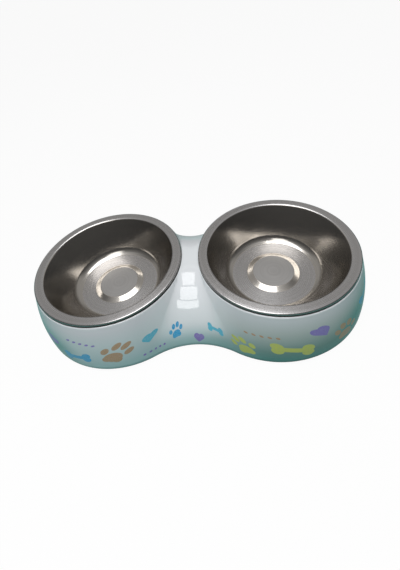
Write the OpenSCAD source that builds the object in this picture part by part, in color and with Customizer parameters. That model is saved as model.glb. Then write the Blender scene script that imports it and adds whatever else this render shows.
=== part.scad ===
// Double pet bowl: two pressed steel bowls hang by their rims in one moulded stand on rubber feet.
// Millimetres, +Z up, origin on the table under the middle of the stand, bowls side by side along X.

/* [Steel bowls] */
// Radius of the rolled rim, outside
rim_radius = 75; // [60:1:95]
// Width of the rim from its outer edge to the bowl's mouth
rim_width = 9.1; // [7:0.1:12]
// Depth from the top of the rim to the flat floor
bowl_depth = 35.6; // [28:0.1:42]
// Radius of the flat floor
floor_radius = 42.4; // [36:0.1:48]
// Radius of the raised disc in the floor
disc_radius = 21; // [15:0.5:26]
// Height of the raised disc over the floor
disc_rise = 2.3; // [1.5:0.1:3]
// Thickness of the steel sheet
sheet = 0.6; // [0.4:0.1:0.8]
// Radius of the rolled bead under the rim's edge
bead_radius = 1.5; // [1.2:0.1:2.4]

/* [Stand] */
// Gap between the two rims
bowl_gap = 16.6; // [10:0.2:40]
// Height of the stand from its base to its deck
stand_height = 54.8; // [46:0.1:80]
// Thickness of the moulded wall and deck
wall = 3.2; // [2.4:0.1:4]
// How far the top of each lobe stands out past the rim
lobe_ledge = 0.6; // [0.4:0.1:4]
// How much wider each lobe is at its base than at its top, on the radius
wall_flare = 14.9; // [8:0.1:20]
// How far the wall swells out past a straight line
wall_bulge = 2.6; // [0:0.1:4]
// How far the waist is drawn in from the lobes, at the base
waist_inset = 21.9; // [14:0.1:30]
// Half width of the level strip of deck between the bowls
deck_flat = 8; // [5:0.5:12]

/* [Feet] */
// Radius of a foot's head
foot_radius = 5.5; // [4:0.1:6.5]
// How far a foot stands below the stand
foot_proud = 1.2; // [0.8:0.1:3]
// Radius of a foot's stem
stem_radius = 2.5; // [1.5:0.1:3]
// Length of a foot's stem
stem_length = 6.5; // [4:0.5:9]

/* [Fits] */
// Clearance between a bowl's wall and the edge of its opening
bowl_clearance = 1.2; // [0.5:0.1:2]
// Gap between the rim's bead and the deck
seat_gap = 0.3; // [0.2:0.05:0.4]
// Clearance round a foot's stem and over its end
stem_clearance = 0.1; // [0.05:0.05:0.3]

/* [Hidden] */
NODES = ["stand", "left_bowl", "right_bowl",
         "left_foot_front_inner", "left_foot_front_outer", "left_foot_back_outer", "left_foot_back_inner",
         "right_foot_back_inner", "right_foot_back_outer", "right_foot_front_outer", "right_foot_front_inner"];
left_feet = [NODES[3], NODES[4], NODES[5], NODES[6]];
right_feet = [NODES[10], NODES[9], NODES[8], NODES[7]];

// Pressed details of a bowl
mouth_fillet = 2.5;
step_run = 5.6;
step_fillet = 2;
floor_fillet = 2.8;
heel_run_share = 0.234;
heel_rise_share = 0.079;
heel_fillet = 12.5;
heel_side_share = 0.66;
curl_turn = 255;
fillet_side_share = 0.3;

// Edges of the stand
base_edge = 1.8;
lobe_edge = 1.2;
inner_edge = 1.5;
arch_share = 1.77;
overrun = 2;

// Bosses that hold the feet, placed round each lobe as shares of its free arc
boss_wall = 3.4;
boss_cap = 2.4;
foot_chamfer = 0.5;
foot_turn_shares = [-0.88, -0.3, 0.3, 0.88];

// Fineness of curves
turn_steps = 180;
lobe_steps = 40;
waist_steps = 16;
arch_steps = 15;
hollow_steps = 10;
edge_steps = 3;
fillet_steps = 8;
curl_steps = 20;

// Derived places
half_pitch = rim_radius + bowl_gap / 2;
mouth_radius = rim_radius - rim_width;
heel = [floor_radius + heel_run_share * (mouth_radius - floor_radius), (heel_rise_share - 1) * bowl_depth];
wall_lean = (heel.x - mouth_radius) / heel.y;
seat_drop = seat_gap + 2 * bead_radius;
opening_radius = mouth_radius - seat_drop * wall_lean + sheet * norm([1, wall_lean]) + bowl_clearance;
lobe_top_radius = rim_radius + lobe_ledge;
lobe_base_radius = lobe_top_radius + wall_flare;
waist_half = lobe_base_radius - waist_inset;
base_lobe_turn = lobe_turn(waist_inset);
rim_top = foot_proud + stand_height + seat_drop;
boss_radius = stem_radius + boss_wall;
boss_height = stem_length + stem_clearance + boss_cap;
boss_reach = lobe_radius(boss_height) - wall / 2 - boss_radius;

// A unit vector along v
function unit(v) = v / norm(v);

// One corner b of a path from a to c, rounded to radius r where its share of the shorter side has room for it
function rounded_corner(a, b, c, r, side_share) =
    let (
        to_a = unit(a - b),
        to_c = unit(c - b),
        half_angle = acos(to_a * to_c) / 2,
        room = side_share * min(norm(a - b), norm(c - b)),
        reach = min(r / tan(half_angle), room),
        radius = reach * tan(half_angle),
        centre = b + unit(to_a + to_c) * radius / sin(half_angle),
        start = b + to_a * reach - centre,
        side = cross(to_a, to_c) > 0 ? -1 : 1,
        turn = 180 - 2 * half_angle
    )
    [for (i = [0:fillet_steps])
        let (angle = side * turn * i / fillet_steps)
        centre + [start.x * cos(angle) - start.y * sin(angle), start.x * sin(angle) + start.y * cos(angle)]];

// A path through corners [place, radius, share of the side], with its ends left as they are
function rounded_path(corners) =
    [for (i = [0:len(corners) - 1])
        each i == 0 || i == len(corners) - 1
            ? [corners[i][0]]
            : rounded_corner(corners[i - 1][0], corners[i][0], corners[i + 1][0], corners[i][1], corners[i][2])];

// The direction of a path at its point i
function heading(path, i) =
    unit(path[min(i + 1, len(path) - 1)] - path[max(i - 1, 0)]);

// The sheet between a path and its copy, moved by the thickness to the path's right
function sheet_outline(path, thickness) =
    concat(path, [for (i = [len(path) - 1:-1:0])
        let (h = i == 0 ? [1, 0] : heading(path, i))
        path[i] + thickness * [h.y, -h.x]]);

// The upper face of a bowl's sheet from its middle out to the top of the bead, rim top at zero
bowl_face = rounded_path([
    [[0, disc_rise - bowl_depth]],
    [[disc_radius, disc_rise - bowl_depth], step_fillet, fillet_side_share],
    [[disc_radius + step_run, -bowl_depth], step_fillet, fillet_side_share],
    [[floor_radius, -bowl_depth], floor_fillet, fillet_side_share],
    [heel, heel_fillet, heel_side_share],
    [[mouth_radius, 0], mouth_fillet, fillet_side_share],
    [[rim_radius - bead_radius, 0]]]);

// The bead that the rim's edge is rolled into
bead_face = [for (i = [1:curl_steps])
    let (angle = 90 - curl_turn * i / curl_steps)
    [rim_radius - bead_radius + bead_radius * cos(angle), bead_radius * sin(angle) - bead_radius]];

// How far along Y the waist's arc has its centre, for a waist drawn in by drop from the lobes
function waist_arc_y(drop) = (half_pitch * half_pitch - drop * drop) / (2 * drop);

// The turn from a lobe's outer end to where the waist's arc meets it
function lobe_turn(drop) = atan2(waist_arc_y(drop), -half_pitch);

// Radius of a lobe's wall at a height over the stand's base
function lobe_radius(height) =
    let (share = height / stand_height)
    lobe_base_radius - wall_flare * share + 4 * wall_bulge * share * (1 - share);

// How far a rounded edge draws in, at a distance below its top, for an edge of that radius
function edge_inset(below, edge) =
    below >= edge ? 0 : edge - sqrt(edge * edge - (edge - below) * (edge - below));

// One level outline of the stand: two round lobes joined at the waist by arcs tangent to both
function level_outline(lobe, waist, height) =
    let (
        arc_y = waist_arc_y(lobe - waist),
        arc_radius = arc_y - waist,
        round_turn = lobe_turn(lobe - waist),
        arc_turn = atan2(half_pitch, arc_y)
    )
    concat(
        [for (i = [0:lobe_steps - 1])
            let (a = round_turn * (2 * i / lobe_steps - 1))
            [half_pitch + lobe * cos(a), lobe * sin(a), height]],
        [for (i = [0:waist_steps - 1])
            let (a = arc_turn * (1 - 2 * i / waist_steps))
            [arc_radius * sin(a), arc_y - arc_radius * cos(a), height]],
        [for (i = [0:lobe_steps - 1])
            let (a = round_turn * (2 * i / lobe_steps - 1))
            [-half_pitch - lobe * cos(a), -lobe * sin(a), height]],
        [for (i = [0:waist_steps - 1])
            let (a = arc_turn * (1 - 2 * i / waist_steps))
            [-arc_radius * sin(a), arc_radius * cos(a) - arc_y, height]]);

// The level outlines of a peanut form set in by a wall thickness, from its lowest height up to its deck
function form_levels(inset, low, deck, edge_top, steps) =
    let (flat_share = 2 / arch_share)
    [for (k = [0:steps])
        let (
            a = 90 * k / steps,
            height = low + (deck - low) * pow(sin(a), flat_share),
            waist = deck_flat + (waist_half - inset - deck_flat) * pow(cos(a), flat_share),
            lobe = lobe_radius(height) - inset - edge_inset(deck - height, edge_top)
        )
        level_outline(lobe, waist, height)];

// A solid skinned over a list of rings with equally many points, closed flat at both ends
module skinned(rings) {
    count = len(rings[0]);
    last = len(rings) - 1;
    sides = [for (k = [0:last - 1], i = [0:count - 1])
        let (
            a = k * count + i,
            b = k * count + (i + 1) % count,
            c = b + count,
            d = a + count
        )
        each [[a, d, c], [a, c, b]]];
    first_cap = [for (i = [0:count - 1]) i];
    last_cap = [for (i = [count - 1:-1:0]) last * count + i];
    polyhedron([for (ring = rings) each ring], concat([first_cap], sides, [last_cap]));
}

// The moulded shell: its skin runs from under the deck down the hollow, round the base and up to the deck
module shell_form() {
    hollow = form_levels(wall, 0, stand_height - wall, inner_edge, hollow_steps);
    base = [for (k = [0:edge_steps - 1])
        let (a = 90 * k / edge_steps, inset = base_edge * (1 - sin(a)), height = base_edge * (1 - cos(a)))
        level_outline(lobe_radius(height) - inset, waist_half - inset, height)];
    outside = form_levels(0, base_edge, stand_height, lobe_edge, arch_steps);
    skinned(concat([for (k = [hollow_steps:-1:0]) hollow[k]], base, outside));
}

// Places its children at each foot, once for each turn in the list
module at_feet(turns = foot_turn_shares, sides = [-1, 1]) {
    for (side = sides, share = turns)
        let (turn = share * base_lobe_turn)
        translate([side * (half_pitch + boss_reach * cos(turn)), boss_reach * sin(turn), 0])
            children();
}

module stand() {
    color([0.9, 0.94, 0.95])
    translate([0, 0, foot_proud])
    difference() {
        union() {
            shell_form();
            at_feet()
                cylinder(r = boss_radius, h = boss_height, $fn = turn_steps);
        }
        for (side = [-1, 1])
            translate([side * half_pitch, 0, stand_height - wall - overrun])
                cylinder(r = opening_radius, h = wall + 2 * overrun, $fn = turn_steps);
        at_feet()
            translate([0, 0, -overrun])
                cylinder(r = stem_radius + stem_clearance, h = stem_length + stem_clearance + overrun,
                         $fn = turn_steps);
    }
}

// One bowl, pressed from a single sheet
module bowl(side) {
    color([0.72, 0.7, 0.68])
    translate([side * half_pitch, 0, rim_top])
    rotate_extrude($fn = turn_steps)
        polygon(sheet_outline(concat(bowl_face, bead_face), sheet));
}

module left_bowl() bowl(-1);
module right_bowl() bowl(1);

// One push-in foot: a round head under the stand and a stem up in its boss
module foot(side, share) {
    color([0.13, 0.13, 0.14])
    at_feet([share], [side])
    rotate_extrude($fn = turn_steps)
        polygon([
            [0, 0],
            [foot_radius - foot_chamfer, 0],
            [foot_radius, foot_chamfer],
            [foot_radius, foot_proud],
            [stem_radius, foot_proud],
            [stem_radius, foot_proud + stem_length - foot_chamfer],
            [stem_radius - foot_chamfer, foot_proud + stem_length],
            [0, foot_proud + stem_length]]);
}

stand();
left_bowl();
right_bowl();
for (i = [0:3]) {
    foot(-1, foot_turn_shares[i]);
    foot(1, foot_turn_shares[i]);
}
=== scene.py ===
import math

import bmesh
import bpy
import numpy as np
from mathutils import Matrix, Vector


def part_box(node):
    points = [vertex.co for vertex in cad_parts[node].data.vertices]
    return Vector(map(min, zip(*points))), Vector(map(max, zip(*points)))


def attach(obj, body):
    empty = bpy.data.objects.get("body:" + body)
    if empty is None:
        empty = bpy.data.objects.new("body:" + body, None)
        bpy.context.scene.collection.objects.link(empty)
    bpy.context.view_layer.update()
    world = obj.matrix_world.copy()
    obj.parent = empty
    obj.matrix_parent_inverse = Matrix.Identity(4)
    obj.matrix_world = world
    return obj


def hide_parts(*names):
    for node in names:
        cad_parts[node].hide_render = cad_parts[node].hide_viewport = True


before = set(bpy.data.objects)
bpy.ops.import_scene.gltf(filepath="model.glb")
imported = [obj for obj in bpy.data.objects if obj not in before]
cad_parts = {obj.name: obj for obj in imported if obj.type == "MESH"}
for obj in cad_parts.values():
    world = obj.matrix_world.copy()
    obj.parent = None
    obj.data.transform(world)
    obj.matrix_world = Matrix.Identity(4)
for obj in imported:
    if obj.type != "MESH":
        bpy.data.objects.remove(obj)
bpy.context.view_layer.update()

# two spun steel bowls that hang in one glossy printed stand on rubber feet, in metres
mm = 0.001
standLow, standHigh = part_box("stand")
bowlLow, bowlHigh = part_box("right_bowl")
footLow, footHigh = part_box("right_foot_front_outer")
halfPitch = (bowlLow.x + bowlHigh.x) / 2
rimRadius = (bowlHigh.x - bowlLow.x) / 2
rimTop = bowlHigh.z
standHeight = standHigh.z - standLow.z
print("frame loaded, rims of", round(rimRadius / mm, 1), "mm,", round(2 * halfPitch / mm, 1), "mm apart")


# camera, at the angle of the photograph
cameraView = {
    "target": (0.011, -0.03915, rimTop),
    "distance": 0.2531,
    "azimuth": 9.58,
    "elevation": 51.31,
    "roll": -11.4,
    "lens": 17.94,
    "sensor": 36,
    "clip": (0.01, 50),
}


def placeCamera(view):
    azimuth = math.radians(view["azimuth"])
    elevation = math.radians(view["elevation"])
    back = Vector((
        math.sin(azimuth) * math.cos(elevation),
        -math.cos(azimuth) * math.cos(elevation),
        math.sin(elevation),
    ))
    camera = bpy.data.objects.new("camera", bpy.data.cameras.new("camera"))
    camera.data.lens = view["lens"]
    camera.data.sensor_width = view["sensor"]
    camera.data.clip_start, camera.data.clip_end = view["clip"]
    level = (-back).to_track_quat("-Z", "Y").to_matrix()
    turn = level @ Matrix.Rotation(math.radians(view["roll"]), 3, "Z")
    place = Vector(view["target"]) + back * view["distance"]
    camera.matrix_world = Matrix.Translation(place) @ turn.to_4x4()
    bpy.context.scene.collection.objects.link(camera)
    bpy.context.scene.camera = camera


placeCamera(cameraView)
bpy.context.scene.view_settings.view_transform = "Standard"
print("camera placed")


# small helpers for building node trees
def put(tree, kind, inputs=None, **settings):
    node = tree.nodes.new(kind)
    for name, value in settings.items():
        setattr(node, name, value)
    for name, value in (inputs or {}).items():
        if isinstance(value, bpy.types.NodeSocket):
            tree.links.new(value, node.inputs[name])
        else:
            node.inputs[name].default_value = value
    return node


def sums(tree, operation, *values):
    return put(tree, "ShaderNodeMath", dict(enumerate(values)), operation=operation).outputs[0]


def distance(tree, x, y):
    squares = [sums(tree, "POWER", part, 2.0) for part in (x, y)]
    return sums(tree, "SQRT", sums(tree, "ADD", *squares))


def length(tree, vector):
    return put(tree, "ShaderNodeVectorMath", {0: vector}, operation="LENGTH").outputs["Value"]


def parts(tree, vector):
    return put(tree, "ShaderNodeSeparateXYZ", {0: vector}).outputs


def flat(tree, x, y):
    return put(tree, "ShaderNodeCombineXYZ", {0: x, 1: y}).outputs[0]


def objectPlace(tree):
    return tree.nodes.new("ShaderNodeTexCoord").outputs["Object"]


def ramp(tree, value, start, end, low=0.0, high=1.0, kind="SMOOTHSTEP"):
    limits = {"Value": value, "From Min": start, "From Max": end, "To Min": low, "To Max": high}
    return put(tree, "ShaderNodeMapRange", limits, interpolation_type=kind).outputs["Result"]


def mixed(tree, share, first, second):
    return put(tree, "ShaderNodeMix", {0: share, 6: first, 7: second}, data_type="RGBA").outputs[2]


def stained(tree, base, colour, mask, share):
    return mixed(tree, sums(tree, "MULTIPLY", mask, share), base, colour)


def roughened(tree, roughness, marks):
    # each mark is a mask and what it adds to the roughness
    for mask, added in marks:
        roughness = sums(tree, "ADD", roughness, sums(tree, "MULTIPLY", mask, added))
    return roughness


def colourRamp(tree, value, stops):
    node = put(tree, "ShaderNodeValToRGB", {0: value})
    made = node.color_ramp.elements
    while len(made) < len(stops):
        made.new(1.0)
    for stop, (share, colour) in zip(made, stops):
        stop.position = share
        stop.color = colour
    return node.outputs["Color"]


def noise(tree, vector, scale, detail=2.0, roughness=0.5):
    inputs = {"Vector": vector, "Scale": scale, "Detail": detail, "Roughness": roughness}
    return put(tree, "ShaderNodeTexNoise", inputs).outputs["Fac"]


def moved(tree, vector, place=(0, 0, 0), turn=(0, 0, 0), size=(1, 1, 1)):
    inputs = {"Vector": vector, "Location": place, "Rotation": turn, "Scale": size}
    return put(tree, "ShaderNodeMapping", inputs, vector_type="TEXTURE").outputs["Vector"]


def rays(tree):
    # masks of the rays straight from the camera and of those that metal, gloss or glass sends on
    ray = tree.nodes.new("ShaderNodeLightPath").outputs
    return ray["Is Camera Ray"], sums(tree, "MAXIMUM", ray["Is Glossy Ray"], ray["Is Transmission Ray"])


def shaderGroup(name, inputs, outputs):
    tree = bpy.data.node_groups.new(name, "ShaderNodeTree")
    for label, kind in inputs.items():
        tree.interface.new_socket(label, in_out="INPUT", socket_type="NodeSocket" + kind)
    for label, kind in outputs.items():
        tree.interface.new_socket(label, in_out="OUTPUT", socket_type="NodeSocket" + kind)
    return tree, tree.nodes.new("NodeGroupInput").outputs, tree.nodes.new("NodeGroupOutput").inputs


def useGroup(tree, group, inputs):
    return put(tree, "ShaderNodeGroup", inputs, node_tree=group).outputs


def newMaterial(name):
    material = bpy.data.materials.new(name)
    material.use_nodes = True
    material.node_tree.nodes.clear()
    return material, material.node_tree


def finishMaterial(tree, shader):
    output = tree.nodes.new("ShaderNodeOutputMaterial")
    tree.links.new(shader.outputs[0], output.inputs["Surface"])


# light: a room that is brightest overhead and greyer behind the bowls, a window of three panes that
# shines on the stand and the floor, and a ceiling light of two panels that shines into the bowls
white = (1, 1, 1, 1)
roomLight = {
    "brightest": (-0.03, 0.1, 0.99),
    # degrees away from the brightest direction, and the light there
    "levels": [(0, 0.7), (12, 0.7), (20, 0.6), (28, 0.4), (40, 0.17), (60, 0.07), (85, 0.01)],
    "widest": 100,
    "farWall": (0.36, 0.355, 0.345, 1),
    "farWallBack": (0.1, 0.45),
    "farWallFoot": (0.25, 0.55),
    "farWallHead": (0.95, 0.8),
    "mirroredShare": 0.03,
}
lampHeight = 0.95
lampWatts = 4  # on each square metre, for a radiance of one
windowPanes = [
    {"far": 0.22, "near": -0.21, "centre": -0.09, "width": 0.46, "radiance": 2.75},
    {"far": -0.26, "near": -0.725, "centre": -0.1, "width": 0.73, "radiance": 2.85},
    {"far": -0.78, "near": -1.21, "centre": -0.04, "width": 1.06, "radiance": 2.95},
]
ceilingPanels = [
    {"far": 0.33, "near": -0.23, "centre": -0.04, "width": 0.56, "radiance": 2.2},
    {"far": -0.23, "near": -0.72, "centre": -0.12, "width": 0.42, "radiance": 1.4},
]

# floor: nearly white to the camera, aqua where it lights the object or is mirrored, greyer close to it
floorLook = {
    "radius": 14.0,
    "sides": 64,
    "colour": (0.12, 0.27, 0.255, 1),
    "spotColour": (0.1, 0.22, 0.21, 1),
    "spotScale": 3.0,
    "spotSpan": (0.3, 0.7),
    "spotShare": 0.1,
    "seenColour": (0.93, 0.93, 0.93, 1),
    "whiteShare": 0.93,
    "mirroredShare": 0.2,
    "mirroredColour": (0.25, 0.76, 0.71, 1),
    "nearColour": (0.32, 0.32, 0.315, 1),
    "nearReach": (0.22, 0.132),
    "nearShare": 0.6,
    "shadeReach": 86 * mm,
    "shadeWaist": 64 * mm,
    "shadeBlur": 2 * mm,
    "shadeShare": 0.3,
}


def lightRoom(room):
    world = bpy.data.worlds.new("room")
    bpy.context.scene.world = world
    world.use_nodes = True
    tree = world.node_tree
    tree.nodes.clear()
    toward = tree.nodes.new("ShaderNodeTexCoord").outputs["Generated"]
    part = parts(tree, toward)
    axis = Vector(room["brightest"]).normalized()
    lean = put(tree, "ShaderNodeVectorMath", {0: toward, 1: axis}, operation="DOT_PRODUCT")
    away = sums(tree, "ARCCOSINE", lean.outputs["Value"])
    away = sums(tree, "DIVIDE", away, math.radians(room["widest"]))
    levels = [(angle / room["widest"], (value, value, value, 1)) for angle, value in room["levels"]]
    level = colourRamp(tree, away, levels)
    behind = ramp(tree, part["Y"], *room["farWallBack"])
    farSide = sums(tree, "MULTIPLY", behind, ramp(tree, part["Z"], *room["farWallFoot"]))
    farSide = sums(tree, "MULTIPLY", farSide, ramp(tree, part["Z"], *room["farWallHead"]))
    colour = mixed(tree, farSide, level, room["farWall"])
    seen, mirrored = rays(tree)
    mirrored = sums(tree, "MULTIPLY", mirrored, room["mirroredShare"])
    colour = mixed(tree, sums(tree, "MAXIMUM", seen, mirrored), colour, white)
    background = put(tree, "ShaderNodeBackground", {"Color": colour, "Strength": 1.0})
    output = tree.nodes.new("ShaderNodeOutputWorld")
    tree.links.new(background.outputs[0], output.inputs["Surface"])


def hangLamps(name, panels, lit):
    receivers = bpy.data.collections.new(name + "Shines")
    for thing in lit:
        receivers.objects.link(thing)
    for number, panel in enumerate(panels):
        panelLength = panel["far"] - panel["near"]
        middle = (panel["far"] + panel["near"]) / 2
        lamp = bpy.data.lights.new(f"{name}{number + 1}", "AREA")
        lamp.shape = "RECTANGLE"
        lamp.size = panel["width"]
        lamp.size_y = panelLength
        lamp.energy = lampWatts * panel["width"] * panelLength * panel["radiance"]
        hung = bpy.data.objects.new(lamp.name, lamp)
        hung.location = (panel["centre"], middle, standHigh.z + lampHeight)
        hung.visible_camera = False
        hung.light_linking.receiver_collection = receivers
        bpy.context.scene.collection.objects.link(hung)


def insideStand(tree, place, look):
    # mask of the floor under the two lobes and the waist between them
    part = parts(tree, place)
    beside = sums(tree, "ABSOLUTE", part["X"])
    across = sums(tree, "ABSOLUTE", part["Y"])
    fromLobe = length(tree, flat(tree, sums(tree, "SUBTRACT", beside, halfPitch), across))
    inLobe = ramp(tree, fromLobe, look["shadeReach"], look["shadeReach"] - look["shadeBlur"])
    inWaist = ramp(tree, across, look["shadeWaist"], look["shadeWaist"] - look["shadeBlur"])
    inWaist = sums(tree, "MULTIPLY", inWaist, sums(tree, "LESS_THAN", beside, halfPitch))
    return sums(tree, "MAXIMUM", inLobe, inWaist)


def floorFinish(look):
    material, tree = newMaterial("paleFloor")
    place = objectPlace(tree)
    seen, mirrored = rays(tree)
    spots = ramp(tree, noise(tree, place, look["spotScale"]), *look["spotSpan"], 0.0, look["spotShare"])
    tone = mixed(tree, spots, look["colour"], look["spotColour"])
    near = ramp(tree, length(tree, place), *look["nearReach"], 0.0, look["nearShare"])
    tone = mixed(tree, sums(tree, "MULTIPLY", mirrored, near), tone, look["nearColour"])
    tone = mixed(tree, seen, tone, look["seenColour"])
    matt = put(tree, "ShaderNodeBsdfDiffuse", {"Color": tone})
    glow = mixed(tree, near, look["mirroredColour"], look["seenColour"])
    glow = put(tree, "ShaderNodeEmission", {"Color": mixed(tree, seen, glow, white), "Strength": 1.0})
    seenShare = ramp(tree, insideStand(tree, place, look), 0, 1, look["whiteShare"], look["shadeShare"])
    mirroredShare = sums(tree, "MULTIPLY", mirrored, look["mirroredShare"])
    share = sums(tree, "MAXIMUM", sums(tree, "MULTIPLY", seen, seenShare), mirroredShare)
    top = put(tree, "ShaderNodeMixShader", {0: share, 1: matt.outputs[0], 2: glow.outputs[0]})

    # from below the camera looks through the floor at the underside
    below = tree.nodes.new("ShaderNodeNewGeometry").outputs["Backfacing"]
    below = sums(tree, "MULTIPLY", below, seen)
    clear = tree.nodes.new("ShaderNodeBsdfTransparent")
    shaders = {0: below, 1: top.outputs[0], 2: clear.outputs[0]}
    finishMaterial(tree, put(tree, "ShaderNodeMixShader", shaders))
    return material


def layFloor(look):
    mesh = bpy.data.meshes.new("floor")
    form = bmesh.new()
    bmesh.ops.create_circle(form, cap_ends=True, segments=look["sides"], radius=look["radius"])
    form.to_mesh(mesh)
    form.free()
    mesh.materials.append(floorFinish(look))
    floor = bpy.data.objects.new("floor", mesh)
    bpy.context.scene.collection.objects.link(floor)
    return floor


lightRoom(roomLight)
floor = layFloor(floorLook)
print("floor laid and room lit")


# surface effects that several finishes share
effectLook = {
    "grainNoise": (1.0, 4.0, 0.7),
    "bandNoise": (0.12, 2.0, 0.5),
    "scratchLanes": ((0.3, 0.0), (1.35, 3.1), (2.5, 7.7)),
    "scratchTilt": (0.4, 0.25),
    "scratchSize": (1.1 * mm, 45 * mm, 20 * mm),
    "scratchNoise": (1.0, 1.0, 0.4),
    "scratchSpan": (0.74, 0.8),
    "patchScale": 45.0,
    "patchStep": 9,
    "patchSpan": (0.5, 0.62),
    "broadSpan": (0.3, 0.7),
    "smearTimes": 6.0,
    "smearNoise": (4.0, 0.6),
    "smearSpan": (0.35, 0.7),
    "speckSpan": (0.09, 0.05),
}


def spunGrainGroup(look):
    # fine rings round the axis, from the distance to it and the height, with a slow change round them
    tree, given, made = shaderGroup(
        "spunGrain",
        {"Vector": "Vector", "Fineness": "Float", "Wander": "Float"},
        {"Height": "Float", "Band": "Float"},
    )
    part = parts(tree, given["Vector"])
    turn = sums(tree, "ARCTAN2", part["Y"], part["X"])
    across = sums(tree, "MULTIPLY", distance(tree, part["X"], part["Y"]), given["Fineness"])
    up = sums(tree, "MULTIPLY", part["Z"], given["Fineness"])
    aside = sums(tree, "MULTIPLY", sums(tree, "COSINE", turn), given["Wander"])
    along = sums(tree, "MULTIPLY", sums(tree, "SINE", turn), given["Wander"])
    ringParts = {0: across, 1: sums(tree, "ADD", up, aside), 2: along}
    ringPlace = put(tree, "ShaderNodeCombineXYZ", ringParts).outputs[0]
    tree.links.new(noise(tree, ringPlace, *look["grainNoise"]), made["Height"])
    tree.links.new(noise(tree, ringPlace, *look["bandNoise"]), made["Band"])
    return tree


def hairScratchGroup(look):
    # thin straight scratches in three directions
    tree, given, made = shaderGroup(
        "hairScratch",
        {"Vector": "Vector", "Density": "Float"},
        {"Mask": "Float"},
    )
    total = 0.0
    for turn, shift in look["scratchLanes"]:
        tilt = (*look["scratchTilt"], turn)
        lane = moved(tree, given["Vector"], (shift, shift, 0), tilt, look["scratchSize"])
        line = ramp(tree, noise(tree, lane, *look["scratchNoise"]), *look["scratchSpan"])
        patchScale = look["patchScale"] + look["patchStep"] * shift
        patch = ramp(tree, noise(tree, given["Vector"], patchScale, 1.0), *look["patchSpan"])
        total = sums(tree, "MAXIMUM", total, sums(tree, "MULTIPLY", line, patch))
    tree.links.new(sums(tree, "MULTIPLY", total, given["Density"]), made["Mask"])
    return tree


def mottleGroup(look):
    # broad soft patches and finer smears, as from handling and washing
    tree, given, made = shaderGroup(
        "mottle",
        {"Vector": "Vector", "Scale": "Float"},
        {"Broad": "Float", "Smear": "Float"},
    )
    finer = sums(tree, "MULTIPLY", given["Scale"], look["smearTimes"])
    broad = noise(tree, given["Vector"], given["Scale"])
    smear = noise(tree, given["Vector"], finer, *look["smearNoise"])
    tree.links.new(ramp(tree, broad, *look["broadSpan"]), made["Broad"])
    tree.links.new(ramp(tree, smear, *look["smearSpan"]), made["Smear"])
    return tree


def dustSpeckGroup(look):
    # a few tiny specks, each in its own cell
    tree, given, made = shaderGroup(
        "dustSpeck",
        {"Vector": "Vector", "Spacing": "Float", "Share": "Float"},
        {"Mask": "Float"},
    )
    scale = sums(tree, "DIVIDE", 1.0, given["Spacing"])
    cells = put(tree, "ShaderNodeTexVoronoi", {"Vector": given["Vector"], "Scale": scale})
    chance = put(tree, "ShaderNodeSeparateColor", {0: cells.outputs["Color"]}).outputs[0]
    chosen = sums(tree, "LESS_THAN", chance, given["Share"])
    dot = ramp(tree, cells.outputs["Distance"], *look["speckSpan"])
    tree.links.new(sums(tree, "MULTIPLY", chosen, dot), made["Mask"])
    return tree


spunGrain = spunGrainGroup(effectLook)
hairScratch = hairScratchGroup(effectLook)
mottle = mottleGroup(effectLook)
dustSpeck = dustSpeckGroup(effectLook)


# steel finish: fine turned rings on the rim and round the floor, a pressed and polished wall and step,
# a satin disc, and a dull bead where the rim curls under, coloured near black there as painted shade under
# the rim
steelLook = {
    "bandColour": (0.45, 0.44, 0.43, 1),
    "bandSpan": (0.35, 0.65),
    "bandShare": 0.3,
    "grainSpan": (0.3, 0.7),
    "ringFineness": 3200,
    "ringWander": 0.8,
    "grainTurn": 0.25,
    "ringDepth": 0.02 * mm,
    "speckColour": (0.75, 0.74, 0.72, 1),
    "speckShare": 0.15,
    "speckSpacing": 4.2 * mm,
    "specks": 0.05,
    "wearScale": 28.0,
    "wearRoughness": 0.02,
    "scratchRoughness": 0.02,
    "scratchDepth": 0.05,
    # painted shade: the lower curl of the bead is coloured near black, and also made rougher
    "beadShadeColour": (0.012, 0.013, 0.014, 1),
    "dullRoughness": 0.25,
    "beadShadeTop": rimTop - 0.9 * mm,
    "beadShadeFull": rimTop - 1.6 * mm,
    "beadShadeReach": rimRadius - 4 * mm,
}
steelZones = {
    "Turned": {
        "colour": (0.60, 0.587, 0.59, 1),
        "roughness": 0.26,
        "anisotropy": 0.5,
        "grain": 0.03,
        "rings": 0.25,
    },
    "Pressed": {
        "colour": (0.60, 0.565, 0.52, 1),
        "roughness": 0.16,
        "anisotropy": 0.0,
        "grain": 0.03,
        "rings": 0.06,
    },
    "Disc": {
        "colour": (0.62, 0.61, 0.605, 1),
        "roughness": 0.3,
        "anisotropy": 0.0,
        "grain": 0.02,
        "rings": 0.15,
    },
}


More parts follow.
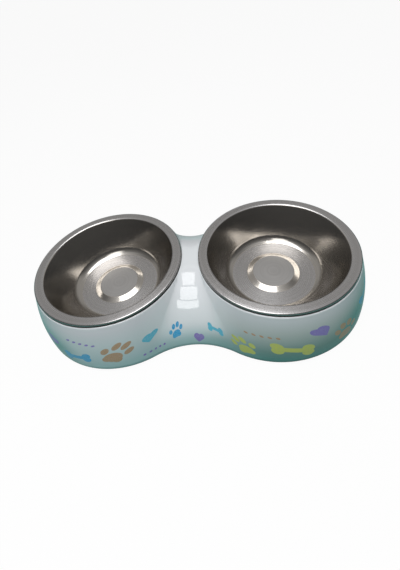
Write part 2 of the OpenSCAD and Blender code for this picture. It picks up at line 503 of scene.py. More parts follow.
def steelFinish(name, axisX, look, zone):
    material, tree = newMaterial(name)
    centred = moved(tree, objectPlace(tree), (axisX, 0, 0))
    part = parts(tree, centred)
    reach = distance(tree, part["X"], part["Y"])
    outside = ramp(tree, reach, look["beadShadeReach"], look["beadShadeReach"] + mm)
    dullShade = sums(tree, "MULTIPLY", ramp(tree, part["Z"], look["beadShadeTop"], look["beadShadeFull"]), outside)
    grainInputs = {"Vector": centred, "Fineness": look["ringFineness"], "Wander": look["ringWander"]}
    grain = useGroup(tree, spunGrain, grainInputs)
    marks = useGroup(tree, hairScratch, {"Vector": centred, "Density": 1.0})
    wear = useGroup(tree, mottle, {"Vector": centred, "Scale": look["wearScale"]})
    speckInputs = {"Vector": centred, "Spacing": look["speckSpacing"], "Share": look["specks"]}
    specks = useGroup(tree, dustSpeck, speckInputs)
    band = ramp(tree, grain["Band"], *look["bandSpan"], 0.0, look["bandShare"])
    base = mixed(tree, band, zone["colour"], look["bandColour"])
    base = stained(tree, base, look["speckColour"], specks["Mask"], look["speckShare"])
    # painted shade on the lower curl of the bead
    base = mixed(tree, dullShade, base, look["beadShadeColour"])
    grainRoughness = ramp(tree, grain["Height"], *look["grainSpan"], -zone["grain"], zone["grain"])
    roughness = roughened(tree, sums(tree, "ADD", zone["roughness"], grainRoughness), [
        (wear["Smear"], look["wearRoughness"]),
        (marks["Mask"], look["scratchRoughness"]),
        (dullShade, look["dullRoughness"]),
    ])
    cut = sums(tree, "MULTIPLY", marks["Mask"], look["scratchDepth"])
    height = sums(tree, "SUBTRACT", grain["Height"], cut)
    bumpInputs = {"Height": height, "Strength": zone["rings"], "Distance": look["ringDepth"]}
    bump = put(tree, "ShaderNodeBump", bumpInputs)
    aroundAxis = put(tree, "ShaderNodeTangent", direction_type="RADIAL", axis="Z")
    finishMaterial(tree, put(tree, "ShaderNodeBsdfPrincipled", {
        "Base Color": base,
        "Metallic": 1.0,
        "Roughness": roughness,
        "Anisotropic": zone["anisotropy"],
        "Anisotropic Rotation": look["grainTurn"],
        "Normal": bump.outputs[0],
        "Tangent": aroundAxis.outputs[0],
    }))
    return material


# foot finish: dull dark rubber
rubberLook = {
    "colour": (0.028, 0.029, 0.031, 1),
    "greyColour": (0.075, 0.076, 0.078, 1),
    "greyShare": 0.5,
    "dustColour": (0.3, 0.29, 0.27, 1),
    "dustShare": 0.6,
    "speckSpacing": 0.9 * mm,
    "specks": 0.2,
    "wearScale": 160.0,
    "wearRoughness": 0.15,
    "roughness": 0.62,
    "poreScale": 4200.0,
    "poreStrength": 0.4,
    "poreDepth": 0.05 * mm,
}


def rubberFinish(look):
    material, tree = newMaterial("footRubber")
    place = objectPlace(tree)
    wear = useGroup(tree, mottle, {"Vector": place, "Scale": look["wearScale"]})
    speckInputs = {"Vector": place, "Spacing": look["speckSpacing"], "Share": look["specks"]}
    specks = useGroup(tree, dustSpeck, speckInputs)
    base = stained(tree, look["colour"], look["greyColour"], wear["Broad"], look["greyShare"])
    base = stained(tree, base, look["dustColour"], specks["Mask"], look["dustShare"])
    pores = noise(tree, place, look["poreScale"])
    bumpInputs = {"Height": pores, "Strength": look["poreStrength"], "Distance": look["poreDepth"]}
    bump = put(tree, "ShaderNodeBump", bumpInputs)
    finishMaterial(tree, put(tree, "ShaderNodeBsdfPrincipled", {
        "Base Color": base,
        "Roughness": roughened(tree, look["roughness"], [(wear["Smear"], look["wearRoughness"])]),
        "Normal": bump.outputs[0],
    }))
    return material


# a tree that spins a profile into a round piece and sets one at each place
def spinTree():
    tree = bpy.data.node_groups.new("spinProfile", "GeometryNodeTree")
    tree.interface.new_socket("Places", in_out="INPUT", socket_type="NodeSocketGeometry")
    tree.interface.new_socket("Pieces", in_out="OUTPUT", socket_type="NodeSocketGeometry")
    sockets = {
        label: tree.interface.new_socket(label, in_out="INPUT", socket_type="NodeSocket" + kind)
        for label, kind in {
            "Profile": "Object",
            "Circle": "Float",
            "Steps": "Int",
            "Join": "Float",
            "Crease": "Float",
            "Finish": "Material",
        }.items()
    }
    given = tree.nodes.new("NodeGroupInput").outputs
    line = put(tree, "GeometryNodeObjectInfo", {"Object": given["Profile"]}).outputs["Geometry"]
    section = put(tree, "GeometryNodeMeshToCurve", {"Mesh": line}).outputs["Curve"]
    circleInputs = {"Resolution": given["Steps"], "Radius": given["Circle"]}
    circle = put(tree, "GeometryNodeCurvePrimitiveCircle", circleInputs).outputs["Curve"]
    shape = put(tree, "GeometryNodeCurveToMesh", {"Curve": circle, "Profile Curve": section}).outputs[0]
    joinInputs = {"Geometry": shape, "Distance": given["Join"]}
    shape = put(tree, "GeometryNodeMergeByDistance", joinInputs).outputs[0]
    placeInputs = {"Points": given["Places"], "Instance": shape}
    shape = put(tree, "GeometryNodeInstanceOnPoints", placeInputs).outputs[0]
    shape = put(tree, "GeometryNodeRealizeInstances", {"Geometry": shape}).outputs[0]
    bend = tree.nodes.new("GeometryNodeInputMeshEdgeAngle").outputs["Unsigned Angle"]
    compared = {0: bend, 1: given["Crease"]}
    soft = put(tree, "FunctionNodeCompare", compared, data_type="FLOAT", operation="LESS_THAN")
    for domain, smooth in (("FACE", True), ("EDGE", soft.outputs[0])):
        shadeInputs = {"Geometry": shape, "Shade Smooth": smooth}
        shape = put(tree, "GeometryNodeSetShadeSmooth", shadeInputs, domain=domain).outputs[0]
    finished = put(tree, "GeometryNodeSetMaterial", {"Geometry": shape, "Material": given["Finish"]})
    output = tree.nodes.new("NodeGroupOutput")
    tree.links.new(finished.outputs[0], output.inputs["Pieces"])
    return tree, sockets


spinProfile, spinSockets = spinTree()
joinReach = 0.0005 * mm  # points closer than this become one
spunCrease = math.radians(32)


def linked(name, points, edges=()):
    mesh = bpy.data.meshes.new(name)
    mesh.from_pydata([tuple(p) for p in points], edges, [])
    thing = bpy.data.objects.new(name, mesh)
    bpy.context.scene.collection.objects.link(thing)
    return thing


def spinPiece(name, profile, places, steps, finish):
    # profile holds (reach, height) points from axis to axis, and each place is a point on the axis
    circle = max(reach for reach, height in profile)
    line = [(reach - circle, -height, 0) for reach, height in profile]
    section = linked(name + "Section", line, [(i, i + 1) for i in range(len(line) - 1)])
    source = linked(name + "Places", places)
    modifier = source.modifiers.new("spin", "NODES")
    modifier.node_group = spinProfile
    chosen = {
        "Profile": section,
        "Circle": circle,
        "Steps": steps,
        "Join": joinReach,
        "Crease": spunCrease,
        "Finish": finish,
    }
    for label, value in chosen.items():
        modifier[spinSockets[label].identifier] = value
    bpy.context.view_layer.update()
    shown = source.evaluated_get(bpy.context.evaluated_depsgraph_get())
    mesh = bpy.data.meshes.new_from_object(shown)
    mesh.name = name
    source.modifiers.remove(modifier)
    bpy.data.objects.remove(source)
    bpy.data.objects.remove(section)
    form = bmesh.new()
    form.from_mesh(mesh)
    bmesh.ops.recalc_face_normals(form, faces=form.faces)
    form.to_mesh(mesh)
    form.free()
    piece = bpy.data.objects.new(name, mesh)
    bpy.context.scene.collection.objects.link(piece)
    print(name, "spun,", len(mesh.polygons), "faces")
    return piece


# outlines in two dimensions
def roundedCorner(before, corner, after, radius, steps, sideShare=0.3):
    toBefore = (before - corner).normalized()
    toAfter = (after - corner).normalized()
    halfAngle = toBefore.angle(toAfter) / 2
    room = sideShare * min((before - corner).length, (after - corner).length)
    reach = min(radius / math.tan(halfAngle), room)
    radius = reach * math.tan(halfAngle)
    centre = corner + (toBefore + toAfter).normalized() * radius / math.sin(halfAngle)
    start = corner + toBefore * reach - centre
    turn = (math.pi - 2 * halfAngle) * (-1 if toBefore.cross(toAfter) > 0 else 1)
    return [centre + Matrix.Rotation(turn * i / steps, 2) @ start for i in range(steps + 1)]


def roundedPath(corners):
    # corners are (reach, height, radius, steps), with or without the share of a side that can be rounded
    points = [Vector(corners[0][:2])]
    for before, corner, after in zip(corners, corners[1:], corners[2:]):
        points += roundedCorner(Vector(before[:2]), Vector(corner[:2]), Vector(after[:2]), *corner[2:])
    return points + [Vector(corners[-1][:2])]


# bowls: a pressed sheet each, with a raised disc, a soft heel, a straight leaning wall and a rolled bead
bowlForm = {
    "depth": 35.6 * mm,
    "rimWidth": 9.1 * mm,
    "floorRadius": 42.4 * mm,
    "discRadius": 21 * mm,
    "discRise": 2.3 * mm,
    "stepRun": 5.6 * mm,
    "stepFillet": 2 * mm,
    "floorFillet": 2.8 * mm,
    "heelRunShare": 0.234,
    "heelRiseShare": 0.079,
    "heelFillet": 12.5 * mm,
    "heelSideShare": 0.66,
    "mouthFillet": 2.5 * mm,
    "sheet": 0.6 * mm,
    "beadRadius": 1.5 * mm,
    "curlTurn": 255,
    "curlSteps": 36,
    "stepSteps": 10,
    "floorSteps": 12,
    "heelSteps": 30,
    "mouthSteps": 14,
    "spinSteps": 288,
    "rimZoneDrop": 0.9 * mm,
    "floorZoneStart": 0.8 * mm,
    "floorZoneEnd": 0.6 * mm,
    "discZoneEnd": 0.8 * mm,
}
mouthRadius = rimRadius - bowlForm["rimWidth"]
heelReach = bowlForm["floorRadius"] + bowlForm["heelRunShare"] * (mouthRadius - bowlForm["floorRadius"])
heelHeight = (bowlForm["heelRiseShare"] - 1) * bowlForm["depth"]
wallLean = (heelReach - mouthRadius) / heelHeight


def bowlProfile(form):
    discY = form["discRise"] - form["depth"]
    beadX = rimRadius - form["beadRadius"]
    face = roundedPath([
        (0, discY),
        (form["discRadius"], discY, form["stepFillet"], form["stepSteps"]),
        (form["discRadius"] + form["stepRun"], -form["depth"], form["stepFillet"], form["stepSteps"]),
        (form["floorRadius"], -form["depth"], form["floorFillet"], form["floorSteps"]),
        (heelReach, heelHeight, form["heelFillet"], form["heelSteps"], form["heelSideShare"]),
        (mouthRadius, 0, form["mouthFillet"], form["mouthSteps"]),
        (beadX, 0),
    ])
    for i in range(1, form["curlSteps"] + 1):
        angle = math.radians(90 - form["curlTurn"] * i / form["curlSteps"])
        height = form["beadRadius"] * (math.sin(angle) - 1)
        face.append(Vector((beadX + form["beadRadius"] * math.cos(angle), height)))
    under = []
    for i, point in enumerate(face):
        onward = face[min(i + 1, len(face) - 1)]
        along = Vector((1, 0)) if i == 0 else (onward - face[i - 1]).normalized()
        under.append(point + form["sheet"] * Vector((along.y, -along.x)))
    return [(point.x, point.y) for point in face + under[::-1]]


def steelZoneAt(form, reach, drop):
    # from the distance to the axis and the depth below the rim
    onRim = drop < form["rimZoneDrop"] and reach > mouthRadius
    floorStart = form["discRadius"] + form["stepRun"] + form["floorZoneStart"]
    if onRim or floorStart < reach < form["floorRadius"] - form["floorZoneEnd"]:
        return "Turned"
    return "Disc" if reach < form["discRadius"] - form["discZoneEnd"] else "Pressed"


def makeBowl(side, sideName):
    axisX = side * halfPitch
    zones = list(steelZones)
    finishes = [steelFinish(f"{sideName}Steel{zone}", axisX, steelLook, steelZones[zone]) for zone in zones]
    profile = bowlProfile(bowlForm)
    places = [(axisX, 0, rimTop)]
    bowl = spinPiece(sideName + "_bowl_spun", profile, places, bowlForm["spinSteps"], finishes[0])
    for finish in finishes[1:]:
        bowl.data.materials.append(finish)
    for face in bowl.data.polygons:
        reach = math.hypot(face.center.x - axisX, face.center.y)
        face.material_index = zones.index(steelZoneAt(bowlForm, reach, rimTop - face.center.z))
    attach(bowl, sideName + "_bowl")
    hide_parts(sideName + "_bowl")
    return bowl


bowls = [makeBowl(-1, "left"), makeBowl(1, "right")]


# feet: a round head with a worn edge and a stem that is pushed into its boss
footForm = {
    "proud": standLow.z,
    "headRadius": (footHigh.x - footLow.x) / 2,
    "stemRadius": 2.5 * mm,
    "stemTop": footHigh.z,
    "edge": 0.5 * mm,
    "neckEdge": 0.15 * mm,
    "turnShares": (-0.88, -0.3, 0.3, 0.88),
    "headSteps": 6,
    "neckSteps": 3,
    "stemSteps": 4,
    "spinSteps": 64,
}
bossForm = {"wall": 3.4 * mm, "cap": 2.4 * mm, "clearance": 0.1 * mm, "lift": 0.05 * mm, "sides": 64}

# stand: a peanut of two lobes and a drawn-in waist, hollow below, in one moulded wall
standForm = {
    "wall": 3.2 * mm,
    "ledge": 0.6 * mm,
    "flare": 14.9 * mm,
    "bulge": 2.6 * mm,
    "waistInset": 21.9 * mm,
    "deckFlat": 8 * mm,
    "baseEdge": 1.8 * mm,
    "lobeEdge": 1.2 * mm,
    "innerEdge": 1.5 * mm,
    "archShare": 1.77,
    "bowlClearance": 1.2 * mm,
    "openingEdge": 0.6 * mm,
    "openingMargin": 0.5 * mm,
    "lobeSteps": 128,
    "waistSteps": 48,
    "archSteps": 64,
    "hollowSteps": 24,
    "edgeSteps": 6,
    "lineSteps": 8,
    "crease": math.radians(35),
}
lobeTopRadius = rimRadius + standForm["ledge"]
lobeBaseRadius = lobeTopRadius + standForm["flare"]
waistHalf = lobeBaseRadius - standForm["waistInset"]
bowlInsideAtDeck = mouthRadius - (rimTop - standHigh.z) * wallLean
bowlAtDeck = bowlInsideAtDeck + bowlForm["sheet"] * math.hypot(1, wallLean)
openingRadius = bowlAtDeck + standForm["bowlClearance"]


def lobeRadius(height):
    share = height / standHeight
    return lobeBaseRadius - standForm["flare"] * share + 4 * standForm["bulge"] * share * (1 - share)


def edgeInset(below, edge):
    return 0.0 if below >= edge else edge - math.sqrt(edge * edge - (edge - below) ** 2)


def waistArcY(drop):
    return (halfPitch * halfPitch - drop * drop) / (2 * drop)


def levelOutline(lobe, waist, height):
    # starts behind the waist and runs by the left lobe, the front of the waist and the right lobe
    lobeCount = standForm["lobeSteps"]
    waistCount = standForm["waistSteps"]
    arcY = waistArcY(lobe - waist)
    arcRadius = arcY - waist
    roundTurn = math.atan2(arcY, -halfPitch)
    arcTurn = math.atan2(halfPitch, arcY)
    lobeTurns = roundTurn * (2 * np.arange(lobeCount) / lobeCount - 1)
    waistTurns = arcTurn * (1 - 2 * np.arange(waistCount) / waistCount)
    x = np.concatenate((halfPitch + lobe * np.cos(lobeTurns), arcRadius * np.sin(waistTurns)))
    y = np.concatenate((lobe * np.sin(lobeTurns), arcY - arcRadius * np.cos(waistTurns)))
    heights = np.full(2 * len(x), height)
    ring = np.column_stack((np.concatenate((x, -x)), np.concatenate((y, -y)), heights))
    return np.roll(ring, -(lobeCount + waistCount // 2), axis=0)


def quarterTurn(step, steps):
    return math.pi / 2 * step / steps


def formLevels(inset, low, deck, edge, steps):
    # outlines from the foot to the deck, where the waist closes in along a rounded arch
    power = 2 / standForm["archShare"]
    deckFlat = standForm["deckFlat"]
    rings = []
    for step in range(steps + 1):
        turn = quarterTurn(step, steps)
        height = low + (deck - low) * math.sin(turn) ** power
        waist = deckFlat + (waistHalf - inset - deckFlat) * max(math.cos(turn), 0) ** power
        lobe = lobeRadius(height) - inset - edgeInset(deck - height, edge)
        rings.append(levelOutline(lobe, waist, height))
    return rings


def baseRings():
    rings = []
    for step in range(standForm["edgeSteps"]):
        turn = quarterTurn(step, standForm["edgeSteps"])
        inset = standForm["baseEdge"] * (1 - math.sin(turn))
        height = standForm["baseEdge"] * (1 - math.cos(turn))
        rings.append(levelOutline(lobeRadius(height) - inset, waistHalf - inset, height))
    return rings


def rightLoop(ring):
    # the right half of a level outline, closed along the line between the bowls
    half = len(ring) // 2
    ends = ring[0, 1] * (1 - 2 * np.arange(1, standForm["lineSteps"]) / standForm["lineSteps"])
    line = np.column_stack((np.zeros(len(ends)), ends, np.full(len(ends), ring[0, 2])))
    return np.vstack((ring[half:], ring[:1], line))


def openingRows(underRing, deckRing):
    # rows of points from under the deck, up through the right opening and out over the deck
    centre = np.array((halfPitch, 0))
    edge = standForm["openingEdge"]
    margin = standForm["openingMargin"]
    turns = [quarterTurn(step, standForm["edgeSteps"]) for step in range(standForm["edgeSteps"] + 1)]

    def shifted(loop, inset):
        away = loop[:, :2] - centre
        reach = np.linalg.norm(away, axis=1, keepdims=True)
        return np.column_stack((centre + away * (reach - inset) / reach, loop[:, 2]))

    def circled(loop, reach, height):
        away = loop[:, :2] - centre
        away = away / np.linalg.norm(away, axis=1, keepdims=True)
        return np.column_stack((centre + away * reach, np.full(len(loop), height)))

    underLoop = rightLoop(underRing)
    deckLoop = rightLoop(deckRing)
    underZ = underLoop[0, 2]
    deckZ = deckLoop[0, 2]
    flatReach = openingRadius + edge + margin
    rows = [underLoop, shifted(underLoop, margin), circled(underLoop, flatReach, underZ)]
    for turn in turns:
        reach = openingRadius + edge * (1 - math.sin(turn))
        rows.append(circled(underLoop, reach, underZ + edge * (1 - math.cos(turn))))
    for turn in turns:
        reach = openingRadius + edge * (1 - math.cos(turn))
        rows.append(circled(deckLoop, reach, deckZ - edge * (1 - math.sin(turn))))
    return rows + [circled(deckLoop, flatReach, deckZ), shifted(deckLoop, margin), deckLoop]


def addGrid(form, uvLayer, rows, across, upward):
    # joins rows of points into a closed band; across and upward give the print's place of each point
    points = [[form.verts.new(p) for p in row] for row in rows]
    count = len(rows[0])
    for k in range(len(rows) - 1):
        for i in range(count):
            j = (i + 1) % count
            corners = ((k, i, i), (k, j, i + 1), (k + 1, j, i + 1), (k + 1, i, i))
            face = form.faces.new([points[row][column] for row, column, _ in corners])
            face.smooth = True
            for loop, (row, column, place) in zip(face.loops, corners):
                loop[uvLayer].uv = (across[place], upward[row][column])


offPrint = -1.0  # a place below the print, for faces that carry none


def shellMesh():
    wall = standForm["wall"]
    hollow = formLevels(wall, 0, standHeight - wall, standForm["innerEdge"], standForm["hollowSteps"])
    baseEdge = standForm["baseEdge"]
    outside = formLevels(0, baseEdge, standHeight, standForm["lobeEdge"], standForm["archSteps"])
    rings = hollow[::-1] + baseRings() + outside
    middle = levelOutline(lobeRadius(standHeight / 2), waistHalf, 0)
    stretches = np.linalg.norm(np.roll(middle, -1, axis=0) - middle, axis=1)
    across = np.concatenate(([0], np.cumsum(stretches)))
    across -= across[-1] / 2
    steps = np.linalg.norm(np.diff(np.array(rings), axis=0), axis=2)
    upward = np.vstack((np.zeros(len(middle)), np.cumsum(steps, axis=0)))
    upward = upward - upward[len(hollow)]
    form = bmesh.new()
    uvLayer = form.loops.layers.uv.new("print")
    addGrid(form, uvLayer, rings, across, upward)
    rows = openingRows(hollow[-1], outside[-1])
    aside = np.full(len(rows[0]) + 1, offPrint)
    blank = np.full((len(rows), len(rows[0])), offPrint)
    for half in (rows, [row * (-1, -1, 1) for row in rows]):
        addGrid(form, uvLayer, half, aside, blank)
    bmesh.ops.remove_doubles(form, verts=form.verts, dist=joinReach)
    bmesh.ops.recalc_face_normals(form, faces=form.faces)
    bmesh.ops.translate(form, verts=form.verts, vec=(0, 0, standLow.z))
    mesh = bpy.data.meshes.new("stand_shell")
    form.to_mesh(mesh)
    form.free()
    return mesh, across[-1]


def footPlaces():
    bossRadius = footForm["stemRadius"] + bossForm["wall"]
    stemLength = footForm["stemTop"] - footForm["proud"]
    bossHeight = stemLength + bossForm["clearance"] + bossForm["cap"]
    reach = lobeRadius(bossHeight) - standForm["wall"] / 2 - bossRadius
    fullTurn = math.atan2(waistArcY(standForm["waistInset"]), -halfPitch)
    spots = []
    for side in (-1, 1):
        for share in footForm["turnShares"]:
            turn = share * fullTurn
            spots.append((side * (halfPitch + reach * math.cos(turn)), reach * math.sin(turn), 0))
    return spots


def cylinders(name, radius, low, high):
    # one upright cylinder at each foot, as one mesh for a boolean
    form = bmesh.new()
    form.loops.layers.uv.new("print")
    for x, y, z in footPlaces():
        made = bmesh.ops.create_cone(
            form,
            cap_ends=True,
            segments=bossForm["sides"],
            radius1=radius,
            radius2=radius,
            depth=high - low,
            matrix=Matrix.Translation((x, y, z + (low + high) / 2)),
        )
        for face in {face for vert in made["verts"] for face in vert.link_faces}:
            face.smooth = len(face.verts) == 4
            for loop in face.loops:
                loop[form.loops.layers.uv.active].uv = (offPrint, offPrint)
    mesh = bpy.data.meshes.new(name)
    form.to_mesh(mesh)
    form.free()
    tool = bpy.data.objects.new(name, mesh)
    bpy.context.scene.collection.objects.link(tool)
    return tool


def makeFeet():
    head = footForm["headRadius"]
    stem = footForm["stemRadius"]
    neck = (footForm["proud"], footForm["neckEdge"], footForm["neckSteps"])
    path = roundedPath([
        (0, 0),
        (head, 0, footForm["edge"], footForm["headSteps"]),
        (head, *neck),
        (stem, *neck),
        (stem, footForm["stemTop"], footForm["edge"], footForm["stemSteps"]),
        (0, footForm["stemTop"]),
    ])
    profile = [(point.x, point.y) for point in path]
    feet = spinPiece("feet", profile, footPlaces(), footForm["spinSteps"], rubberFinish(rubberLook))
    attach(feet, "stand")
    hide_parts(*[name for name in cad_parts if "_foot_" in name])


makeFeet()


# stand print: paws, bones, hearts and rows of dots, each with its place along the wall and up it and its
# size in millimetres, its turn in degrees and its ink
printMotifs = [
    ("paw", -190, 26, 17, 12, "lightAqua"),
    ("heart", -150, 27, 9, -14, "purple"),
    ("bone", -121, 18, 16, 12, "aqua"),
    ("dots", -121, 42, 15, -6, "purple"),
    ("paw", -86, 27, 18, -12, "tan"),
    ("heart", -58, 33, 8, 12, "lightAqua"),
    ("dots", -48, 13, 14, 4, "purple"),
    ("paw", -22, 25, 11, 14, "aqua"),
    ("heart", 6, 13, 7, -10, "purple"),
    ("bone", 30, 26, 11, -12, "lightAqua"),
    ("paw", 60, 19, 14, 12, "olive"),
    ("dots", 84, 40, 15, -5, "tan"),
    ("bone", 100, 21, 19, -14, "olive"),
    ("heart", 129, 38, 9, 10, "purple"),
    ("paw", 148, 21, 15, -12, "tan"),
    ("bone", 184, 36, 15, 20, "aqua"),
    ("dots", 186, 13, 15, -6, "purple"),
    ("heart", 214, 22, 9, 12, "olive"),
]
inks = {
    "purple": (0.26, 0.19, 0.55, 1),
    "aqua": (0.03, 0.36, 0.68, 1),
    "lightAqua": (0.09, 0.48, 0.66, 1),
    "olive": (0.56, 0.62, 0.12, 1),
    "tan": (0.46, 0.28, 0.15, 1),
}


# shapes of the motifs, folded along the middle, in shares of a motif's size
printEdge = (1.03, 0.97)


def spot(tree, vector, place, size, turn=0.0):
    # distance from the middle of a round or oval spot, one at its edge
    return length(tree, moved(tree, vector, (*place, 0), (0, 0, turn), (*size, 1)))


def pawShape(tree, x, y):
    folded = flat(tree, x, y)
    return [
        spot(tree, folded, (0, -0.32), (0.46, 0.38)),
        spot(tree, folded, (0.26, -0.48), (0.24, 0.24)),
        spot(tree, folded, (0.62, 0.12), (0.19, 0.26), -0.35),
        spot(tree, folded, (0.24, 0.52), (0.2, 0.29), -0.1),
    ]


def boneShape(tree, x, y):
    rise = sums(tree, "ABSOLUTE", y)
    folded = flat(tree, x, rise)
    shaft = sums(tree, "MAXIMUM", sums(tree, "DIVIDE", x, 0.62), sums(tree, "DIVIDE", rise, 0.17))
    return [shaft, spot(tree, folded, (0.62, 0.17), (0.26, 0.26))]


def heartShape(tree, x, y):
    folded = flat(tree, x, y)
    rise = sums(tree, "ABSOLUTE", sums(tree, "ADD", y, 0.1))
    point = sums(tree, "DIVIDE", sums(tree, "ADD", x, rise), 0.74)
    return [point, spot(tree, folded, (0.37, 0.27), (0.523, 0.523))]


def dotsShape(tree, x, y):
    # five dots in a row
    beside = sums(tree, "PINGPONG", sums(tree, "MULTIPLY", x, 2.5), 0.5)
    folded = flat(tree, beside, sums(tree, "MULTIPLY", y, 2.5))
    return [sums(tree, "MAXIMUM", spot(tree, folded, (0, 0), (0.26, 0.26)), x)]


def motifGroup(name, shape):
    tree, given, made = shaderGroup(name, {"Vector": "Vector"}, {"Mask": "Float"})
    part = parts(tree, given["Vector"])
    nearest, *others = shape(tree, sums(tree, "ABSOLUTE", part["X"]), part["Y"])
    for other in others:
        nearest = sums(tree, "MINIMUM", nearest, other)
    tree.links.new(ramp(tree, nearest, *printEdge, kind="LINEAR"), made["Mask"])
    return tree


motifs = {
    "paw": motifGroup("pawPrint", pawShape),
    "bone": motifGroup("bonePrint", boneShape),
    "heart": motifGroup("heartPrint", heartShape),
    "dots": motifGroup("dotRow", dotsShape),
}

# stand finish: glossy melamine, cool white that turns aqua at the foot and greyer down the wall, partly as
# a printed fade and partly as painted shade and painted teal reflection; with the print under the gloss
melamineLook = {
    "white": (0.81, 0.845, 0.87, 1),
    # a printed fade together with painted shade and painted teal reflection: darker towards the foot, and
    # darker on the right
    "leftWashAndShade": [
        (0.0, (0.03, 0.18, 0.18, 1)),
        (0.1, (0.39, 0.6, 0.61, 1)),
        (0.3, (0.47, 0.62, 0.65, 1)),
        (0.6, (0.58, 0.67, 0.69, 1)),
        (0.9, (0.66, 0.67, 0.71, 1)),
    ],
    "rightWashAndShade": [
        (0.0, (0.01, 0.12, 0.11, 1)),
        (0.1, (0.06, 0.265, 0.24, 1)),
        (0.3, (0.14, 0.28, 0.255, 1)),
        (0.7, (0.45, 0.505, 0.495, 1)),
        (0.92, (0.58, 0.61, 0.635, 1)),
    ],
    "washShadeTurn": (-0.015, 0.08),
    # painted shade and painted teal reflection low on the two ends of the stand
    "endShadeColour": (0.02, 0.27, 0.24, 1),
    "endShadeShift": 0.008,
    "endShadeReach": (0.11, 0.15),
    "endShadeHeights": (0.85, 0.4),
    "endShadeShares": (0.15, 0.95),
    "saddleReach": (0.048, 0.014),
    "saddleHeights": (0.2, 0.55),
    "saddleShare": 0.8,
    "deckHeights": (0.965, 0.995),
    "printFoot": (0.4 * mm, -0.4 * mm),
    "inkNoise": (900.0, 3.0, 0.6),
    "inkSpan": (0.3, 0.6),
    "inkShares": (0.79, 0.97),
    # painted shade: a dark, rougher ring on the deck under each rim
    "seatShadeColour": (0.03, 0.032, 0.034, 1),
    "seatShadeHeights": (standHigh.z - 1.2 * mm, standHigh.z - 0.8 * mm),
    "seatShadeOutside": (rimRadius + 0.35 * mm, rimRadius + 0.1 * mm),
    "seatShadeInside": (rimRadius - 2.4 * mm, rimRadius - 1.6 * mm),
    "seatShadeRoughness": 0.4,
    "dustColour": (0.45, 0.44, 0.42, 1),
    "dustShare": 0.3,
    "speckSpacing": 6 * mm,
    "specks": 0.04,
    "wearScale": 18.0,
    "wearRoughness": 0.015,
    "scratchRoughness": 0.08,
    "roughness": 0.045,
    "ior": 1.65,
    "peelScale": 260.0,
    "peelStrength": 0.12,
    "peelDepth": 0.03 * mm,
}


def standWashAndShade(tree, part, share, look):
    # the wash down the wall, partly a printed fade and partly painted shade, darker on the right where less
    # light falls, deeper at the two ends, and a mask of the white saddle and deck
    washesAndShade = [colourRamp(tree, share, look[side]) for side in ("leftWashAndShade", "rightWashAndShade")]
    base = mixed(tree, ramp(tree, part["X"], *look["washShadeTurn"]), *washesAndShade)
    # painted shade and painted teal reflection low on the two ends
    side = sums(tree, "ABSOLUTE", sums(tree, "SUBTRACT", part["X"], look["endShadeShift"]))
    low = ramp(tree, share, *look["endShadeHeights"], *look["endShadeShares"])
    ends = sums(tree, "MULTIPLY", ramp(tree, side, *look["endShadeReach"]), low)
    base = mixed(tree, ends, base, look["endShadeColour"])
    saddle = ramp(tree, sums(tree, "ABSOLUTE", part["X"]), *look["saddleReach"])
    high = ramp(tree, share, *look["saddleHeights"], 0.0, look["saddleShare"])
    saddle = sums(tree, "MULTIPLY", saddle, high)
    return base, sums(tree, "MAXIMUM", saddle, ramp(tree, share, *look["deckHeights"]))


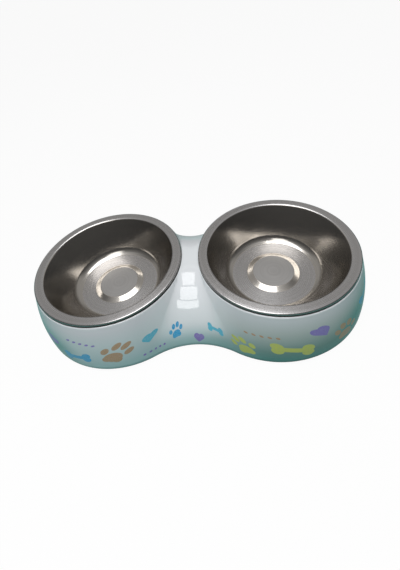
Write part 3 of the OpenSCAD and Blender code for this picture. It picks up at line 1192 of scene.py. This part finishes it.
def melamineFinish(look, prints, period):
    material, tree = newMaterial("standMelamine")
    place = objectPlace(tree)
    part = parts(tree, place)
    wear = useGroup(tree, mottle, {"Vector": place, "Scale": look["wearScale"]})
    marks = useGroup(tree, hairScratch, {"Vector": place, "Density": 1.0})
    speckInputs = {"Vector": place, "Spacing": look["speckSpacing"], "Share": look["specks"]}
    specks = useGroup(tree, dustSpeck, speckInputs)
    share = ramp(tree, part["Z"], standLow.z, standHigh.z, kind="LINEAR")
    base, upper = standWashAndShade(tree, part, share, look)
    wall = parts(tree, put(tree, "ShaderNodeUVMap", uv_map="print").outputs["UV"])
    plain = sums(tree, "MAXIMUM", upper, ramp(tree, wall["Y"], *look["printFoot"]))
    base = mixed(tree, plain, base, look["white"])

    # the print repeats twice round the wall
    along = sums(tree, "WRAP", wall["X"], period / 2, -period / 2)
    printPlace = flat(tree, along, wall["Y"])
    cover = ramp(tree, noise(tree, place, *look["inkNoise"]), *look["inkSpan"], *look["inkShares"])
    for kind, across, up, size, turn, ink in prints:
        centre = (across * mm, up * mm, 0)
        inside = moved(tree, printPlace, centre, (0, 0, math.radians(turn)), (size * mm, size * mm, 1))
        mask = useGroup(tree, motifs[kind], {"Vector": inside})["Mask"]
        base = stained(tree, base, inks[ink], mask, cover)

    # a dark line of painted shade where each rim rests on the deck
    aside = sums(tree, "SUBTRACT", sums(tree, "ABSOLUTE", part["X"]), halfPitch)
    reach = distance(tree, aside, part["Y"])
    rimShade = ramp(tree, part["Z"], *look["seatShadeHeights"])
    for edge in ("seatShadeOutside", "seatShadeInside"):
        rimShade = sums(tree, "MULTIPLY", rimShade, ramp(tree, reach, *look[edge]))
    base = mixed(tree, rimShade, base, look["seatShadeColour"])
    base = stained(tree, base, look["dustColour"], specks["Mask"], look["dustShare"])
    roughness = roughened(tree, look["roughness"], [
        (wear["Smear"], look["wearRoughness"]),
        (marks["Mask"], look["scratchRoughness"]),
        (rimShade, look["seatShadeRoughness"]),
    ])
    peel = noise(tree, place, look["peelScale"])
    bumpInputs = {"Height": peel, "Strength": look["peelStrength"], "Distance": look["peelDepth"]}
    bump = put(tree, "ShaderNodeBump", bumpInputs)
    finishMaterial(tree, put(tree, "ShaderNodeBsdfPrincipled", {
        "Base Color": base,
        "Roughness": roughness,
        "IOR": look["ior"],
        "Normal": bump.outputs[0],
    }))
    return material


def makeStand():
    mesh, halfLength = shellMesh()
    stand = bpy.data.objects.new("stand_shell", mesh)
    bpy.context.scene.collection.objects.link(stand)
    boreTop = footForm["stemTop"] + bossForm["clearance"]
    boreRadius = footForm["stemRadius"] + bossForm["clearance"]
    bossRadius = footForm["stemRadius"] + bossForm["wall"]
    bosses = cylinders("bosses", bossRadius, standLow.z + bossForm["lift"], boreTop + bossForm["cap"])
    bores = cylinders("bores", boreRadius, standLow.z - mm, boreTop)
    for tool, operation in ((bosses, "UNION"), (bores, "DIFFERENCE")):
        cut = stand.modifiers.new(tool.name, "BOOLEAN")
        cut.object = tool
        cut.operation = operation
        cut.solver = "EXACT"
    bpy.context.view_layer.update()
    shown = stand.evaluated_get(bpy.context.evaluated_depsgraph_get())
    joined = bpy.data.meshes.new_from_object(shown)
    stand.modifiers.clear()
    stand.data = joined
    for tool in (bosses, bores):
        bpy.data.objects.remove(tool)
    form = bmesh.new()
    form.from_mesh(joined)
    for edge in form.edges:
        edge.smooth = edge.is_manifold and edge.calc_face_angle() < standForm["crease"]
    form.to_mesh(joined)
    form.free()
    joined.materials.clear()
    joined.materials.append(melamineFinish(melamineLook, printMotifs, halfLength))
    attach(stand, "stand")
    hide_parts("stand")
    print("stand made,", len(joined.polygons), "faces, wall", round(2 * halfLength / mm), "mm round")
    return stand


stand = makeStand()
hangLamps("window", windowPanes, [stand, floor])
hangLamps("ceiling", ceilingPanels, bowls)
print("lamps hung")
